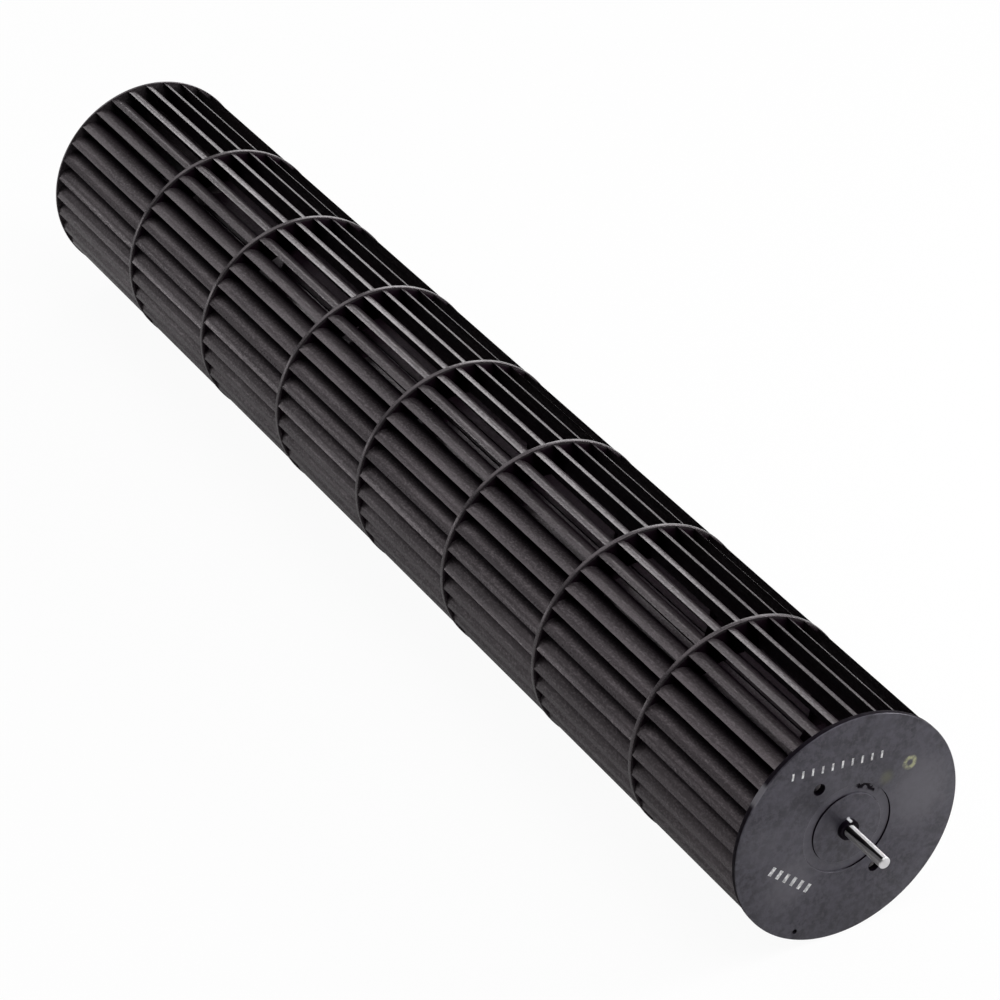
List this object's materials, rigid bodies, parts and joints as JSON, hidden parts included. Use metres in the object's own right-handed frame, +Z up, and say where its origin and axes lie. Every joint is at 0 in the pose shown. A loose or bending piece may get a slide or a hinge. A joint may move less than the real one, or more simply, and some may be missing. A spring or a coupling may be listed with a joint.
{
  "type": "cross flow fan",
  "caption": "Long cylindrical cross flow fan rotor of curved blades in ringed bays, with a stub shaft at one end and a damped motor hub at the other.",
  "frame": {"origin": "centre of the motor bore's mouth, in the plane of the motor end plate's outer face", "axes": "+X along the axis of rotation towards the bearing shaft, +Z up"},
  "size_m": [0.6363, 0.1018, 0.1018],
  "materials": {
    "fan_plastic": "moulded black plastic with a faint sheen",
    "shaft_steel": "ground bright",
    "damper_rubber": "matte",
    "hub_metal": "turned",
    "screw_steel": "dark steel"
  },
  "bodies": {
    "root": {"shaft_end_plate": "fan_plastic", "blade_ring_1": "fan_plastic", "blade_ring_2": "fan_plastic", "blade_ring_3": "fan_plastic", "blade_ring_4": "fan_plastic", "blade_ring_5": "fan_plastic", "blade_ring_6": "fan_plastic", "blade_ring_7": "fan_plastic", "bearing_shaft": "shaft_steel", "motor_end_plate": "fan_plastic", "rubber_damper": "damper_rubber", "motor_hub": "hub_metal", "grub_screw": "screw_steel"}
  },
  "joints": []
}
